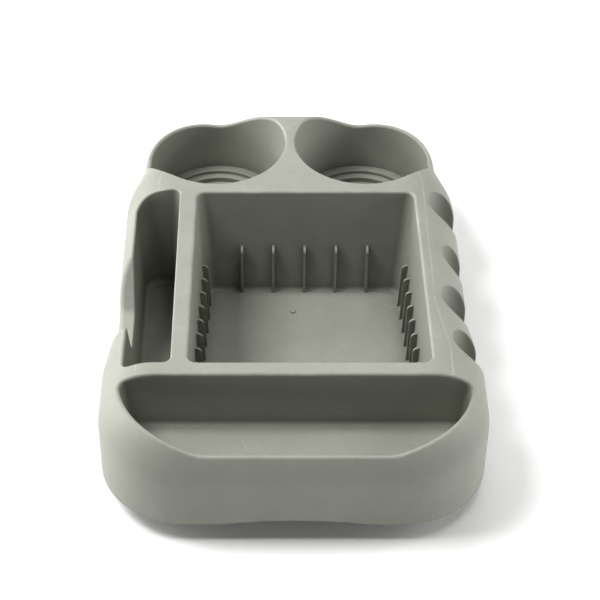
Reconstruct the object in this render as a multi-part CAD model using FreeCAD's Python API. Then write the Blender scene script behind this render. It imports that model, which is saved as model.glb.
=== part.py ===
"""Grey moulded seat organizer: one injection moulding, hollow underneath.

Frame: millimetres, +Z up, +Y towards the cup wells, origin on the ground
under the middle of the bounding box.  Each node is one moulded region of
the same piece; neighbouring nodes share a face and never overlap.
"""
import FreeCAD
import Part
import math
import os

V = FreeCAD.Vector

# ---- heights -------------------------------------------------------------
DECK_Z = 73.0          # flat top deck above the ground
WALL = 3.0             # nominal moulded wall
SHOULDER_R = 30.0      # rounding between deck and skirt
SKIRT_Z = 12.5         # lower edge of the skirt
TOP_CLEAR = 6.0        # how far cutting bodies stand above the deck

# ---- outline (half widths about x = 0, y along the length) ----------------
FRONT_Y = -149.5
BACK_Y = 149.5
FRONT_HALF = 104.0
MID_HALF = 98.5
REAR_HALF = 90.0
FRONT_CORNER_R = 47.0
BACK_CORNER_R = 42.0
FLARE_START_Y = -73.0
FLARE_END_Y = -38.0
FLARE_R = 60.0
STEP_START_Y = 72.0
STEP_END_Y = 100.0
STEP_R = 45.0

# ---- main bin ------------------------------------------------------------
BIN_X = 8.5
BIN_Y = -17.5
BIN_WIDTH = (127.4, 129.4)    # between the side walls, at the rear and at the front
BIN_LENGTH = 143.6
BIN_END_DRAFT = 7.5           # how far the end walls close in at the floor
BIN_SIDE_DRAFT = (6.0, 0.0)   # the same for the side walls, at the rear and at the front
BIN_DEPTH = 70.0
BIN_CORNER_R = 5.0
BIN_FLOOR_R = 2.5

# ---- divider ribs in the main bin ----------------------------------------
RIB_TOP_DEPTH = 38.0         # rib tops below the deck
END_RIB_REACH = (4.6, 3.2)   # stand-off at the rib top and at the floor
SIDE_RIB_REACH = (3.6, 2.6)
RIB_THICK = 1.4
RIB_NOSE_R = 3.0
END_RIB_PITCH = 18.8
END_RIB_COUNT = 5
SIDE_RIB_PITCH = 11.8
SIDE_RIB_COUNT = 9
SIDE_RIB_SHIFT = 2.2   # middle of the side rows, behind the middle of the bin

# ---- moulding gate mark on the bin floor -----------------------------------
GATE_AT = (1.5, 26.5)
GATE_R = 1.6
GATE_HEIGHT = 0.6

# ---- front tray ----------------------------------------------------------
TRAY_BACK_Y = -98.7
TRAY_DEPTH = 36.0
TRAY_X = 1.0
TRAY_HALF = 94.0
TRAY_FRONT_Y = -144.0
TRAY_FRONT_R = 50.0
TRAY_SIDE_LEAN = 0.19   # sides close in towards the front, per mm
TRAY_DRAFT = 3.5
TRAY_BACK_DRAFT = 1.5
TRAY_CORNER_R = 3.0
TRAY_FLOOR_R = 2.5
TRAY_CLOSING = 2.0      # how fast the big corners tighten towards the floor

# ---- side pocket ---------------------------------------------------------
POCKET_X = (-91.0, -65.2)
POCKET_Y = (-89.3, 57.0)
POCKET_DEPTH = 70.0
POCKET_CORNER_R = 4.5
POCKET_BACK_R = 9.0
POCKET_DRAFT = 3.0
POCKET_FLOOR_R = 3.0

# ---- dip in the outer rim beside the pocket --------------------------------
DIP_Z = -35.0
DIP_FLOOR_Y = (-45.0, -14.0)
DIP_FRONT_Y = -57.0
DIP_BACK_Y = 28.0
DIP_INNER_X = -77.0
DIP_EDGE_R = 3.0
DIP_BEND_R = 10.0        # rounding where the slopes meet the floor of the dip
DIP_SLIDE = (0.5, 0.3)   # how far the inner skin's slopes start outside the outer ones, per mm

# ---- cup wells -------------------------------------------------------------
CUP_X = 44.5
CUP_Y = 104.3
CUP_TOP_R = 41.8
CUP_FLAT_X = 85.0      # the outer wall cuts the round space flat here
CUP_FLAT_BLEND_R = 15.0
CUP_FLOOR_R = 40.0
CUP_LEDGE_DEPTH = 50.0
CUP_RING_R = 34.5
CUP_RING_STEP = 2.0
CUP_WELL_R = 30.0
CUP_WELL_STEP = 3.0

# ---- coin wells ------------------------------------------------------------
COIN_WELLS = ((93.0, 50.5, 13.0), (95.5, 7.0, 10.5), (94.5, -31.5, 12.5), (96.5, -66.5, 11.0))
COIN_NAMES = ["coin_well_%d" % (i + 1) for i in range(len(COIN_WELLS))]
COIN_DEPTH = 50.0
COIN_WALL = 2.5

# ---- lip and lower edge ------------------------------------------------------
LIP_R = {              # rounding of the rim of each space
    "main_bin": 1.6,
    "front_tray": 1.6,
    "side_pocket": 1.0,
    "cup_well_left": 1.4,
    "cup_well_right": 1.4,
}
COIN_LIP_R = 0.6       # the same for the coin wells
TOUCH = 0.001          # how near counts as lying on a surface
EDGE_SAMPLES = 5       # points tried along an edge
WAVE_RISE = 3.0        # arch in the lower front edge
WAVE_HALF = 40.0
WAVE_DEPTH = 30.0


def rounded_polygon(points, radii, z):
    """Closed wire through the points with every corner replaced by its arc."""
    edges = []
    ends = []
    count = len(points)
    for i in range(count):
        p = V(points[i][0], points[i][1], z)
        before = V(points[i - 1][0], points[i - 1][1], z) - p
        after = V(points[(i + 1) % count][0], points[(i + 1) % count][1], z) - p
        half = before.getAngle(after) / 2.0
        reach = radii[i] / math.tan(half)
        before.normalize()
        after.normalize()
        middle = before + after
        middle.normalize()
        nose = p + middle * (radii[i] / math.sin(half) - radii[i])
        start = p + before * reach
        end = p + after * reach
        ends.append((start, nose, end))
    for i in range(count):
        start, nose, end = ends[i]
        edges.append(Part.Arc(start, nose, end).toShape())
        following = ends[(i + 1) % count][0]
        if end.distanceToPoint(following) > TOUCH:
            edges.append(Part.makeLine(end, following))
    return Part.Wire(edges)


def outline_wire(z, inset=0.0):
    """Plan outline of the moulding, drawn in by the inset."""
    right = [
        (FRONT_HALF, FRONT_Y, FRONT_CORNER_R),
        (FRONT_HALF, FLARE_START_Y, FLARE_R),
        (MID_HALF, FLARE_END_Y, FLARE_R),
        (MID_HALF, STEP_START_Y, STEP_R),
        (REAR_HALF, STEP_END_Y, STEP_R),
        (REAR_HALF, BACK_Y, BACK_CORNER_R),
    ]
    left = [(-x, y, r) for x, y, r in reversed(right)]
    ring = right + left
    wire = rounded_polygon([(x, y) for x, y, r in ring], [r for x, y, r in ring], z)
    if inset > 0.0:
        wire = wire.makeOffset2D(-inset)
    return wire


def prism(wire, height):
    """Solid above (or below, for a negative height) a closed wire."""
    return Part.Face(wire).extrude(V(0, 0, height))


def domed_body(inset, base_z):
    """Outline prism whose top edge is rounded over by the shoulder."""
    top_z = DECK_Z - inset
    body = prism(outline_wire(base_z, inset), top_z - base_z)
    rim = [e for e in body.Edges if min(v.Z for v in e.Vertexes) > top_z - TOUCH]
    return body.makeFillet(SHOULDER_R - inset, rim)


def dip_cutter(offset):
    """Scoop that lowers the outer rim beside the side pocket."""
    floor_z = DECK_Z + DIP_Z - offset
    above = DECK_Z + TOP_CLEAR
    front = DIP_FRONT_Y - offset
    back = DIP_BACK_Y + offset
    x0 = -FRONT_HALF - TOP_CLEAR
    pts = [
        V(x0, front, above),
        V(x0, DIP_FLOOR_Y[0] - offset * DIP_SLIDE[0], floor_z),
        V(x0, DIP_FLOOR_Y[1] + offset * DIP_SLIDE[1], floor_z),
        V(x0, back, above),
        V(x0, front, above),
    ]
    face = Part.Face(Part.makePolygon(pts))
    body = face.extrude(V(DIP_INNER_X - x0, 0, 0))
    bends = [e for e in body.Edges if max(v.Z for v in e.Vertexes) < floor_z + TOUCH]
    bends = [e for e in bends if abs(e.Vertexes[0].X - e.Vertexes[1].X) > TOP_CLEAR]
    return body.makeFillet(DIP_BEND_R + offset, bends)


def dipped_body(inset, base_z):
    """Domed body with the scoop taken out and the scoop's edges softened."""
    dome = domed_body(inset, base_z)
    scoop = dip_cutter(inset)
    body = dome.cut(scoop)
    edges = shared_edges(body, dome.Shells[0], scoop.Shells[0], base_z)
    edges = [e for e in edges if min(v.X for v in e.Vertexes) < DIP_INNER_X - TOUCH]
    return body.makeFillet(DIP_EDGE_R, edges)


def rounded_rect(x0, x1, y0, y1):
    """Corner points of a rectangle, counter-clockwise from low X and low Y."""
    return [(x0, y0), (x1, y0), (x1, y1), (x0, y1)]


def drafted_body(low, top, radii, floor_z, floor_r):
    """Solid between two rounded outlines, its floor edge rounded too."""
    low_wire = rounded_polygon(low, radii, floor_z)
    top_wire = rounded_polygon(top, radii, DECK_Z + TOP_CLEAR)
    body = Part.makeLoft([low_wire, top_wire], True, True)
    floor = [e for e in body.Edges if max(v.Z for v in e.Vertexes) < floor_z + TOUCH]
    return body.makeFillet(floor_r, floor)


def main_bin_volume(grow):
    """Space of the main bin, a little wider at the front than at the rear."""
    rear_x, front_x = BIN_WIDTH[0] / 2.0 + grow, BIN_WIDTH[1] / 2.0 + grow
    half_y = BIN_LENGTH / 2.0 + grow
    rise = TOP_CLEAR / BIN_DEPTH
    low = bin_corners(rear_x, front_x, half_y, -1.0)
    top = bin_corners(rear_x, front_x, half_y, rise)
    radii = [BIN_CORNER_R + grow] * 4
    floor_z = DECK_Z - BIN_DEPTH - grow
    body = drafted_body(low, top, radii, floor_z, BIN_FLOOR_R + grow)
    body.translate(V(BIN_X, BIN_Y, 0))
    return body


def bin_corners(rear_x, front_x, half_y, share):
    """Corner points of the bin, opened out by a share of its draft."""
    rear_x += share * BIN_SIDE_DRAFT[0]
    front_x += share * BIN_SIDE_DRAFT[1]
    half_y += share * BIN_END_DRAFT
    return [(-front_x, -half_y), (front_x, -half_y), (rear_x, half_y), (-rear_x, half_y)]


def pocket_volume(grow):
    """Space of the long side pocket with its larger back corner."""
    x0, x1 = POCKET_X[0] - grow, POCKET_X[1] + grow
    y0, y1 = POCKET_Y[0] - grow, POCKET_Y[1] + grow
    rise = TOP_CLEAR * POCKET_DRAFT / POCKET_DEPTH
    low = rounded_rect(x0 + POCKET_DRAFT, x1 - POCKET_DRAFT, y0 + POCKET_DRAFT, y1 - POCKET_DRAFT)
    top = rounded_rect(x0 - rise, x1 + rise, y0 - rise, y1 + rise)
    small = POCKET_CORNER_R + grow
    radii = [small, small, small, POCKET_BACK_R + grow]
    return drafted_body(low, top, radii, DECK_Z - POCKET_DEPTH - grow, POCKET_FLOOR_R + grow)


def tray_wire(z, inset, back_inset):
    """D-shaped mouth of the front tray: flat front, two big corners."""
    half = TRAY_HALF - inset
    front = TRAY_FRONT_Y + inset
    back = TRAY_BACK_Y - back_inset
    nose = half - (back - front) * TRAY_SIDE_LEAN
    big = TRAY_FRONT_R - inset * (TRAY_CLOSING if inset > 0.0 else 1.0)
    small = TRAY_CORNER_R + max(0.0, -inset)
    pts = [
        (TRAY_X - half, back),
        (TRAY_X - nose, front),
        (TRAY_X + nose, front),
        (TRAY_X + half, back),
    ]
    return rounded_polygon(pts, [small, big, big, small], z)


def tray_volume(grow):
    """Drafted space of the front tray."""
    rise = TOP_CLEAR / TRAY_DEPTH
    floor_z = DECK_Z - TRAY_DEPTH - grow
    low = tray_wire(floor_z, TRAY_DRAFT - grow, TRAY_BACK_DRAFT - grow)
    top = tray_wire(DECK_Z + TOP_CLEAR, -rise * TRAY_DRAFT - grow, -rise * TRAY_BACK_DRAFT - grow)
    body = Part.makeLoft([low, top], True, True)
    floor = [e for e in body.Edges if max(v.Z for v in e.Vertexes) < floor_z + TOUCH]
    return body.makeFillet(TRAY_FLOOR_R, floor)


def cup_volume(side, grow):
    """Stepped round cup space, cut flat where it meets the outer wall."""
    ledge = DECK_Z - CUP_LEDGE_DEPTH
    ring = ledge - CUP_RING_STEP
    well = ring - CUP_WELL_STEP
    top = DECK_Z + TOP_CLEAR
    profile = [
        V(0, 0, well - grow),
        V(CUP_WELL_R + grow, 0, well - grow),
        V(CUP_WELL_R + grow, 0, ring - grow),
        V(CUP_RING_R + grow, 0, ring - grow),
        V(CUP_RING_R + grow, 0, ledge - grow),
        V(CUP_FLOOR_R + grow, 0, ledge - grow),
        V(CUP_TOP_R + grow, 0, top),
        V(0, 0, top),
        V(0, 0, well - grow),
    ]
    face = Part.Face(Part.makePolygon(profile))
    body = face.revolve(V(0, 0, 0), V(0, 0, 1), 360)
    body.translate(V(CUP_X, CUP_Y, 0))
    if grow == 0.0:
        body = flattened(body)
    return body if side > 0 else body.mirror(V(0, 0, 0), V(1, 0, 0))


def flattened(body):
    """Right-hand cup space cut flat at the outer wall, the cut blended in."""
    tall = DECK_Z + 2.0 * TOP_CLEAR
    keep = Part.makeBox(CUP_FLAT_X, 2.0 * BACK_Y, tall)
    cut = body.common(keep).Solids[0]
    blends = [e for e in cut.Edges if all(abs(v.X - CUP_FLAT_X) < TOUCH for v in e.Vertexes)]
    blends = [e for e in blends if abs(e.Vertexes[0].Z - e.Vertexes[-1].Z) > TOP_CLEAR]
    return cut.makeFillet(CUP_FLAT_BLEND_R, blends)


def coin_volume(x, y, r, grow):
    """Upright cylinder for a stack of coins, open above the deck."""
    base_z = DECK_Z - COIN_DEPTH - grow
    return Part.makeCylinder(r + grow, DECK_Z + TOP_CLEAR - base_z, V(x, y, base_z))


def rib(reach, draft):
    """Upright rib plate standing off a wall at y = 0 that closes in by the draft."""
    low = DECK_Z - BIN_DEPTH - WALL / 2.0
    top = DECK_Z - RIB_TOP_DEPTH
    back = WALL / 2.0
    front_low = -draft * (DECK_Z - low) / BIN_DEPTH - reach[1]
    front_top = -draft * RIB_TOP_DEPTH / BIN_DEPTH - reach[0]
    x0 = -RIB_THICK / 2.0
    pts = [V(x0, back, low), V(x0, front_low, low), V(x0, front_top, top), V(x0, back, top)]
    body = Part.Face(Part.makePolygon(pts + pts[:1])).extrude(V(RIB_THICK, 0, 0))
    nose = [e for e in body.Edges if e.CenterOfMass.distanceToPoint(V(0, front_top, top)) < TOUCH]
    return body.makeFillet(RIB_NOSE_R, nose)


def end_ribs(name, turn):
    """Row of ribs on the rear wall (turn 0) or the front wall (turn 180)."""
    plates = {}
    for i in range(END_RIB_COUNT):
        plate = rib(END_RIB_REACH, BIN_END_DRAFT)
        plate.translate(V((i - (END_RIB_COUNT - 1) / 2.0) * END_RIB_PITCH, BIN_LENGTH / 2.0, 0))
        plate.rotate(V(0, 0, 0), V(0, 0, 1), turn)
        plates["%s_%d" % (name, i + 1)] = plate
    return plates


def side_ribs(name, turn):
    """Row of ribs on the left wall (turn 90) or the right wall (turn -90), rear first."""
    plates = {}
    rear, front = BIN_SIDE_DRAFT
    widening = BIN_WIDTH[1] - BIN_WIDTH[0]
    for i in range(SIDE_RIB_COUNT):
        y = SIDE_RIB_SHIFT + ((SIDE_RIB_COUNT - 1) / 2.0 - i) * SIDE_RIB_PITCH
        share = 0.5 - y / BIN_LENGTH
        plate = rib(SIDE_RIB_REACH, rear + (front - rear) * share)
        plate.translate(V(0, (BIN_WIDTH[0] + widening * share) / 2.0, 0))
        plate.rotate(V(0, 0, 0), V(0, 0, 1), turn)
        plate.translate(V(0, y, 0))
        plates["%s_%d" % (name, i + 1)] = plate
    return plates


def divider_ribs():
    """Slot ribs standing on the four walls of the bin, by node name."""
    ribs = end_ribs("rear_rib", 0.0)
    ribs.update(end_ribs("front_rib", 180.0))
    ribs.update(side_ribs("left_rib", 90.0))
    ribs.update(side_ribs("right_rib", -90.0))
    for name in ribs:
        ribs[name].translate(V(BIN_X, BIN_Y, 0))
    return ribs


def gate_mark():
    """Low round stub left in the bin floor where the plastic entered."""
    buried = WALL / 2.0
    foot = V(GATE_AT[0], GATE_AT[1], DECK_Z - BIN_DEPTH - buried)
    return Part.makeCylinder(GATE_R, GATE_HEIGHT + buried, foot)


def front_arch():
    """Shallow arch in the lower front edge of the skirt."""
    y0 = FRONT_Y - TOP_CLEAR
    arc = Part.Arc(
        V(-WAVE_HALF, y0, SKIRT_Z),
        V(0, y0, SKIRT_Z + WAVE_RISE),
        V(WAVE_HALF, y0, SKIRT_Z),
    ).toShape()
    chord = Part.makeLine(V(WAVE_HALF, y0, SKIRT_Z), V(-WAVE_HALF, y0, SKIRT_Z))
    return Part.Face(Part.Wire([arc, chord])).extrude(V(0, WAVE_DEPTH, 0))


def shared_edges(body, skin, other, base_z):
    """Edges of the body that lie on both surfaces, above a height."""
    chosen = []
    for edge in body.Edges:
        span = edge.LastParameter - edge.FirstParameter
        steps = [k / (EDGE_SAMPLES - 1) for k in range(EDGE_SAMPLES)]
        points = [edge.valueAt(edge.FirstParameter + step * span) for step in steps]
        if min(p.z for p in points) < base_z:
            continue
        marks = [Part.Vertex(p) for p in points[1:-1]]
        on_skin = max(skin.distToShape(m)[0] for m in marks) < TOUCH
        if on_skin and max(other.distToShape(m)[0] for m in marks) < TOUCH:
            chosen.append(edge)
    return chosen


def half_space(side):
    """Big block on one side of the middle plane between the two cups."""
    size = 4.0 * BACK_Y
    x0 = 0.0 if side > 0 else -size
    return Part.makeBox(size, size, size, V(x0, -size / 2.0, -size / 2.0))


def basin(outer, spaces, inner):
    """Moulded wall around a space, kept inside the shell."""
    return outer.common(inner).cut(spaces)


def build():
    """All moulded regions, by node name."""
    inner = dipped_body(WALL, -TOP_CLEAR)
    spaces = {
        "main_bin": main_bin_volume(0.0),
        "front_tray": tray_volume(0.0),
        "side_pocket": pocket_volume(0.0),
        "cup_well_left": cup_volume(-1, 0.0),
        "cup_well_right": cup_volume(1, 0.0),
    }
    walls = {
        "main_bin": main_bin_volume(WALL),
        "front_tray": tray_volume(WALL),
        "side_pocket": pocket_volume(WALL),
        "cup_well_left": cup_volume(-1, WALL).common(half_space(-1)),
        "cup_well_right": cup_volume(1, WALL).common(half_space(1)),
    }
    for name, (x, y, r) in zip(COIN_NAMES, COIN_WELLS):
        spaces[name] = coin_volume(x, y, r, 0.0)
        walls[name] = coin_volume(x, y, r, COIN_WALL)
    solid = dipped_body(0.0, SKIRT_Z).cut(front_arch())
    shell = solid
    lip_low = DECK_Z - COIN_DEPTH + COIN_LIP_R
    for name in spaces:
        shell = shell.cut(spaces[name])
    for name in spaces:
        lips = shared_edges(shell, solid.Shells[0], spaces[name].Shells[0], lip_low)
        shell = shell.makeFillet(LIP_R.get(name, COIN_LIP_R), lips)
    nodes = {}
    nodes["deck_shell"] = shell.cut(inner)
    for name in spaces:
        nodes[name] = basin(walls[name], spaces[name], inner)
    nodes["front_tray"] = nodes["front_tray"].cut(solid.cut(shell))
    ribs = divider_ribs()
    for name in ribs:
        nodes[name] = ribs[name].common(spaces["main_bin"])
    nodes["main_bin"] = nodes["main_bin"].fuse(gate_mark())
    return nodes


def main():
    """Write one STEP file per node."""
    os.makedirs("parts", exist_ok=True)
    nodes = build()
    for name in nodes:
        nodes[name].exportStep("parts/" + name + ".step")


main()
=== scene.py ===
import math

import bpy
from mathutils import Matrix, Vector


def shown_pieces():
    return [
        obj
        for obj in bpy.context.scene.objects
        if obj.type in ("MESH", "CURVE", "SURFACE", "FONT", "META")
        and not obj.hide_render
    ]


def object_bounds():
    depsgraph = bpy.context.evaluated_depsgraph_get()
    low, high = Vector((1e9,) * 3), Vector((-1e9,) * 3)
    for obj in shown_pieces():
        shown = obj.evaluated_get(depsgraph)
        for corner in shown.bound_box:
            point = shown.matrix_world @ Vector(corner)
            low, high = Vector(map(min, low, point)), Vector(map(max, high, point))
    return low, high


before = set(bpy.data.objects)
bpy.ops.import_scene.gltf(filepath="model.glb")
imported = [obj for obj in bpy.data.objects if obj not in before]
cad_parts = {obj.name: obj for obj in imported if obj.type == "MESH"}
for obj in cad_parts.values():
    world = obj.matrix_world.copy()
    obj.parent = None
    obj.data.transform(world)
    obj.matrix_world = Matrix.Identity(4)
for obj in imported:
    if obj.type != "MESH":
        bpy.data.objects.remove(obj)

# The object is one grey injection moulding, so every surface below is a CAD
# node with a procedural moulded-plastic material.  Lengths are in metres.

cad_low, cad_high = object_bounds()
CENTRE = (cad_low + cad_high) / 2

# ---- camera ----------------------------------------------------------------
CAMERA_PITCH = math.radians(42.0)   # looking down, along +Y
CAMERA_BACK = 0.745                 # behind the middle of the object
CAMERA_ABOVE = 0.707                # above the ground
CAMERA_ASIDE = -0.0148              # to the left of the middle
FOCAL_MM = 103.9
SENSOR_MM = 36.0
FRAME_SHIFT = 0.057

# ---- plastic ---------------------------------------------------------------
BODY_COLOUR = (0.320, 0.325, 0.284, 1.0)
BODY_DARKER = (0.300, 0.305, 0.266, 1.0)
BODY_PALER = (0.343, 0.348, 0.306, 1.0)
RUBBED_COLOUR = (0.392, 0.396, 0.356, 1.0)
GRAIN_PER_METRE = 1400.0    # spark-eroded texture of the mould
MOTTLE_PER_METRE = 26.0     # broad cloudiness of the pigment
BLOTCH_PER_METRE = 160.0    # small marks left by handling
PATCH_PER_METRE = 55.0      # where the lips are rubbed
PAINTED_SHADE_REACH = 0.009         # painted shade reaches this near to inner corners
# colour of the painted shade laid into inner corners and recesses
PAINTED_SHADE_COLOUR = (0.185, 0.187, 0.158, 1.0)
SCRATCH_TURNS = (0.35, 1.25, 2.40)        # directions of the hairlines, in radians
SCRATCH_STRETCH = (34.0, 1300.0, 34.0)    # per metre along, across and down
SCRATCH_COVER = (0.70, 0.78)              # noise above these values shows as a line
SCRATCH_FACING = (0.6, 0.9)               # only on faces that look up this far
SCRATCH_PALENESS = 0.5
COLOUR_OUT = 2              # the Mix node's colour output
ROUGHNESS = (0.50, 0.66)    # on the grain's low and high points
ROUGHNESS_GRAIN = (0.3, 0.7)
SHEEN = 0.4                 # specular level
WEAR_POLISH = 0.13
LIP_HEIGHT = 0.0018         # the rounded lips lie this far below the deck
LIP_SLOPES = (0.15, 0.955)  # how far up the normals of the lips point
RUBBED_COVER = (0.36, 0.62)
CORNER_OPENNESS = (0.35, 1.0)             # from a tight inner corner to an open face
CORNER_SAMPLES = 8
PAINTED_SHADE_CLOUDS = (0.25, 0.75)
PAINTED_SHADE_DEPTH = (0.45, 0.95)                # share of painted shade in thin and thick clouds
MOTTLE_STOPS = ((0.32, BODY_DARKER), (0.50, BODY_COLOUR), (0.70, BODY_PALER))
BLOTCH_COVER = (0.52, 0.80)
SPECKLE_COVER = (0.50, 0.85)
SLOW_RELIEF = (0.00030, 0.25)             # height in metres, strength
GRAIN_RELIEF = (0.00009, 0.55)
SCRATCH_RELIEF = (-0.00003, 0.40)


# ---- light: name, place from the middle of the object, size, watts ----------
LIGHTS = (
    ("overhead_right", (0.40, -0.05, 1.45), 0.60, 6.5),
    ("overhead_left", (-0.80, 0.0, 1.30), 0.60, 20.5),
    ("overhead_rear", (0.0, 0.8, 1.3), 0.9, 5.0),
    ("left_wall", (-1.3, 0.1, 0.4), 0.7, 9.5),
    ("left_rear_wall", (-1.1, 0.8, 0.5), 0.7, 7.5),
    ("right_wall", (1.3, 0.1, 0.4), 0.7, 10.5),
    ("right_front_wall", (1.2, -0.6, 0.45), 0.7, 2.5),
)
SURROUND = 0.03
SURROUND_COLOUR = (1.0, 1.0, 0.99, 1.0)
PICTURE_GAMMA = 0.85        # firm contrast
FLOOR_COLOUR = (0.93, 0.93, 0.925, 1.0)
FLOOR_HALF_SIZE = 6.0
FLOOR_ROUGHNESS = 0.8
FLOOR_GLOW = 0.07           # the floor is a translucent table lit from below


def link(tree, source, out, target, into):
    """Join one node's output to another node's input."""
    tree.links.new(source.outputs[out], target.inputs[into])


def noise(tree, coordinates, scale, detail, roughness=0.5):
    """Noise texture read at the object's own coordinates."""
    node = tree.nodes.new("ShaderNodeTexNoise")
    node.inputs["Scale"].default_value = scale
    node.inputs["Detail"].default_value = detail
    node.inputs["Roughness"].default_value = roughness
    link(tree, coordinates, "Object", node, "Vector")
    return node


def ramp(tree, source, out, stops):
    """Colour ramp fed by a value; stops are (position, colour) pairs."""
    node = tree.nodes.new("ShaderNodeValToRGB")
    elements = node.color_ramp.elements
    while len(elements) < len(stops):
        elements.new(0.5)
    for element, (place, colour) in zip(elements, stops):
        element.position = place
        element.color = colour
    link(tree, source, out, node, "Fac")
    return node


def maths(tree, operation, first, second):
    """Math node; each input is a number or a (node, output) pair."""
    node = tree.nodes.new("ShaderNodeMath")
    node.operation = operation
    for socket, value in zip(node.inputs, (first, second)):
        if isinstance(value, tuple):
            tree.links.new(value[0].outputs[value[1]], socket)
        else:
            socket.default_value = value
    return node


def split(tree, source, out):
    """X, Y and Z of a vector."""
    node = tree.nodes.new("ShaderNodeSeparateXYZ")
    link(tree, source, out, node, "Vector")
    return node


def blend(tree, first, second, share):
    """Colour mix of two colours or (node, output) pairs by a (node, output) share."""
    node = tree.nodes.new("ShaderNodeMix")
    node.data_type = "RGBA"
    tree.links.new(share[0].outputs[share[1]], node.inputs["Factor"])
    colour_inputs = [i for i in node.inputs if i.type == "RGBA"]
    for socket, value in zip(colour_inputs, (first, second)):
        if len(value) == 2:
            tree.links.new(value[0].outputs[value[1]], socket)
        else:
            socket.default_value = value
    return node


def remap(tree, value, low, high, to_low=0.0, to_high=1.0):
    """A (node, output) value taken from one range to another, clamped."""
    node = tree.nodes.new("ShaderNodeMapRange")
    node.inputs["From Min"].default_value = low
    node.inputs["From Max"].default_value = high
    node.inputs["To Min"].default_value = to_low
    node.inputs["To Max"].default_value = to_high
    tree.links.new(value[0].outputs[value[1]], node.inputs["Value"])
    return (node, "Result")


def product(tree, first, second):
    """Two shares multiplied."""
    return (maths(tree, "MULTIPLY", first, second), "Value")


def lip_share(tree, coordinates):
    """1 on patches of the rounded lips at deck height, else 0."""
    place = split(tree, coordinates, "Object")
    facing = split(tree, coordinates, "Normal")
    high = maths(tree, "GREATER_THAN", (place, "Z"), cad_high.z - LIP_HEIGHT)
    tilted = maths(tree, "LESS_THAN", (facing, "Z"), LIP_SLOPES[1])
    turned = maths(tree, "GREATER_THAN", (facing, "Z"), LIP_SLOPES[0])
    sloping = product(tree, (tilted, "Value"), (turned, "Value"))
    lip = product(tree, sloping, (high, "Value"))
    patches = noise(tree, coordinates, PATCH_PER_METRE, 5.0, 0.7)
    return product(tree, lip, remap(tree, (patches, "Fac"), *RUBBED_COVER))


def scratch_share(tree, coordinates):
    """Sparse fine hairlines in a few directions, on faces that look up."""
    facing = split(tree, coordinates, "Normal")
    total = None
    for turn in SCRATCH_TURNS:
        frame_turn = tree.nodes.new("ShaderNodeMapping")
        frame_turn.inputs["Rotation"].default_value = (0.0, 0.0, turn)
        link(tree, coordinates, "Object", frame_turn, "Vector")
        stretch = tree.nodes.new("ShaderNodeMapping")
        stretch.inputs["Scale"].default_value = SCRATCH_STRETCH
        link(tree, frame_turn, "Vector", stretch, "Vector")
        streak = tree.nodes.new("ShaderNodeTexNoise")
        streak.inputs["Scale"].default_value = 1.0
        streak.inputs["Detail"].default_value = 1.0
        link(tree, stretch, "Vector", streak, "Vector")
        line = remap(tree, (streak, "Fac"), *SCRATCH_COVER)
        total = line if total is None else (maths(tree, "MAXIMUM", total, line), "Value")
    upward = remap(tree, (facing, "Z"), *SCRATCH_FACING)
    return product(tree, total, upward)


def painted_shade_share(tree, coordinates):
    """How much painted shade darkens a point: most in inner corners, in uneven clouds."""
    # painted shade: ambient occlusion darkens the colour in inner corners and recesses
    corner = tree.nodes.new("ShaderNodeAmbientOcclusion")
    corner.inputs["Distance"].default_value = PAINTED_SHADE_REACH
    corner.samples = CORNER_SAMPLES
    clouds = noise(tree, coordinates, PATCH_PER_METRE, 4.0, 0.6)
    near = remap(tree, (corner, "AO"), *CORNER_OPENNESS, 1.0, 0.0)
    return product(tree, near, remap(tree, (clouds, "Fac"), *PAINTED_SHADE_CLOUDS, *PAINTED_SHADE_DEPTH))


def plastic_colour(tree, coordinates, grain, worn):
    """Cloudy pigment with small marks, painted shade darkening the corners, and paler where
    worn.
    """
    mottle = noise(tree, coordinates, MOTTLE_PER_METRE, 5.0, 0.62)
    tint = ramp(tree, mottle, "Fac", MOTTLE_STOPS)
    blotch = noise(tree, coordinates, BLOTCH_PER_METRE, 6.0, 0.7)
    marks = remap(tree, (blotch, "Fac"), *BLOTCH_COVER)
    marked = blend(tree, (tint, "Color"), BODY_DARKER, marks)
    speckles = remap(tree, (grain, "Fac"), *SPECKLE_COVER)
    speckled = blend(tree, (marked, COLOUR_OUT), BODY_PALER, speckles)
    # painted shade darkens the colour in the inner corners
    painted_shade = painted_shade_share(tree, coordinates)
    shaded_colour = blend(tree, (speckled, COLOUR_OUT), PAINTED_SHADE_COLOUR, painted_shade)
    return blend(tree, (shaded_colour, COLOUR_OUT), RUBBED_COLOUR, worn)


def plastic_relief(tree, coordinates, grain, scratches):
    """Grain, shallow scratches and the slow unevenness of a cooled moulding."""
    slow = noise(tree, coordinates, MOTTLE_PER_METRE, 2.0)
    normal = None
    for height, (distance, strength) in (
        ((slow, "Fac"), SLOW_RELIEF),
        ((grain, "Fac"), GRAIN_RELIEF),
        (scratches, SCRATCH_RELIEF),
    ):
        bump = tree.nodes.new("ShaderNodeBump")
        bump.inputs["Strength"].default_value = strength
        bump.inputs["Distance"].default_value = distance
        tree.links.new(height[0].outputs[height[1]], bump.inputs["Height"])
        if normal is not None:
            link(tree, normal, "Normal", bump, "Normal")
        normal = bump
    return normal


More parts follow.
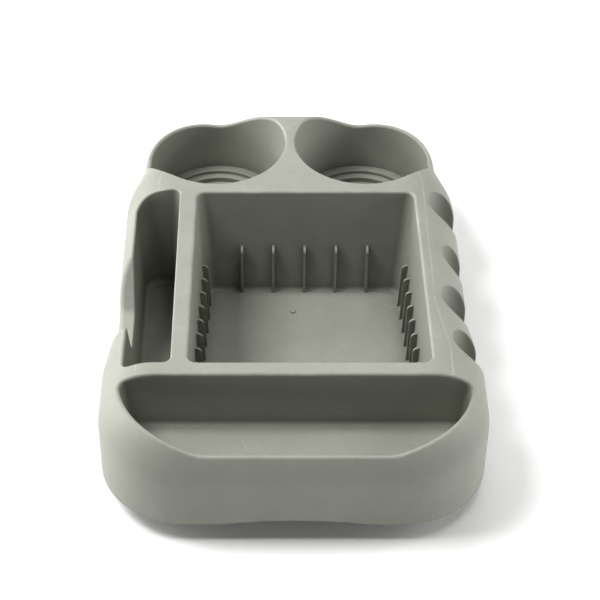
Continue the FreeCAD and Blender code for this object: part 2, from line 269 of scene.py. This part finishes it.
def moulded_plastic(name):
    """Matt spark-textured polypropylene, a little handled."""
    material = bpy.data.materials.new(name)
    material.use_nodes = True
    tree = material.node_tree
    shader = tree.nodes["Principled BSDF"]
    shader.inputs["Specular IOR Level"].default_value = SHEEN
    coordinates = tree.nodes.new("ShaderNodeTexCoord")
    grain = noise(tree, coordinates, GRAIN_PER_METRE, 3.0, 0.65)
    scratches = scratch_share(tree, coordinates)
    light_scratches = product(tree, scratches, SCRATCH_PALENESS)
    worn = (maths(tree, "MAXIMUM", lip_share(tree, coordinates), light_scratches), "Value")
    colour = plastic_colour(tree, coordinates, grain, worn)
    link(tree, colour, COLOUR_OUT, shader, "Base Color")
    dull = remap(tree, (grain, "Fac"), *ROUGHNESS_GRAIN, *ROUGHNESS)
    polish = product(tree, worn, -WEAR_POLISH)
    gloss = maths(tree, "ADD", dull, polish)
    link(tree, gloss, "Value", shader, "Roughness")
    link(tree, plastic_relief(tree, coordinates, grain, scratches), "Normal", shader, "Normal")
    return material


def dress_nodes():
    """Give every CAD node the moulded plastic."""
    plastic = moulded_plastic("moulded_grey")
    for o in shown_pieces():
        for slot in o.material_slots:
            slot.material = plastic
        if not o.material_slots:
            o.data.materials.append(plastic)


def make_floor():
    """Large pale sweep under the object."""
    size = FLOOR_HALF_SIZE
    mesh = bpy.data.meshes.new("studio_floor")
    corners = [(-size, -size, 0), (size, -size, 0), (size, size, 0), (-size, size, 0)]
    mesh.from_pydata(corners, [], [(0, 1, 2, 3)])
    floor = bpy.data.objects.new("studio_floor", mesh)
    floor.location = (CENTRE.x, CENTRE.y, cad_low.z)
    bpy.context.collection.objects.link(floor)
    material = bpy.data.materials.new("studio_floor")
    material.use_nodes = True
    shader = material.node_tree.nodes["Principled BSDF"]
    shader.inputs["Base Color"].default_value = FLOOR_COLOUR
    shader.inputs["Roughness"].default_value = FLOOR_ROUGHNESS
    shader.inputs["Emission Color"].default_value = FLOOR_COLOUR
    shader.inputs["Emission Strength"].default_value = FLOOR_GLOW
    mesh.materials.append(material)


def soft_light(name, place, size, power):
    """Square area light aimed at the middle of the object."""
    data = bpy.data.lights.new(name, "AREA")
    data.size = size
    data.energy = power
    lamp = bpy.data.objects.new(name, data)
    lamp.location = CENTRE + Vector(place)
    lamp.rotation_euler = (-Vector(place)).to_track_quat("-Z", "Y").to_euler()
    lamp.visible_camera = False
    bpy.context.collection.objects.link(lamp)


def make_lights():
    """Soft light from above, behind and both sides, and almost none from the front."""
    for name, place, size, power in LIGHTS:
        soft_light(name, place, size, power)
    world = bpy.data.worlds.new("studio")
    world.use_nodes = True
    background = world.node_tree.nodes["Background"]
    background.inputs["Color"].default_value = SURROUND_COLOUR
    background.inputs["Strength"].default_value = SURROUND
    bpy.context.scene.world = world
    bpy.context.scene.view_settings.view_transform = "Standard"
    bpy.context.scene.view_settings.gamma = PICTURE_GAMMA


def make_camera():
    """Camera looking straight along the length, down from above the front."""
    data = bpy.data.cameras.new("camera")
    data.sensor_width = SENSOR_MM
    data.lens = FOCAL_MM
    data.shift_x = FRAME_SHIFT
    camera = bpy.data.objects.new("camera", data)
    camera.location = (
        CENTRE.x + CAMERA_ASIDE,
        CENTRE.y - CAMERA_BACK,
        cad_low.z + CAMERA_ABOVE,
    )
    camera.rotation_euler = (math.pi / 2 - CAMERA_PITCH, 0.0, 0.0)
    bpy.context.collection.objects.link(camera)
    bpy.context.scene.camera = camera


dress_nodes()
make_floor()
make_lights()
make_camera()
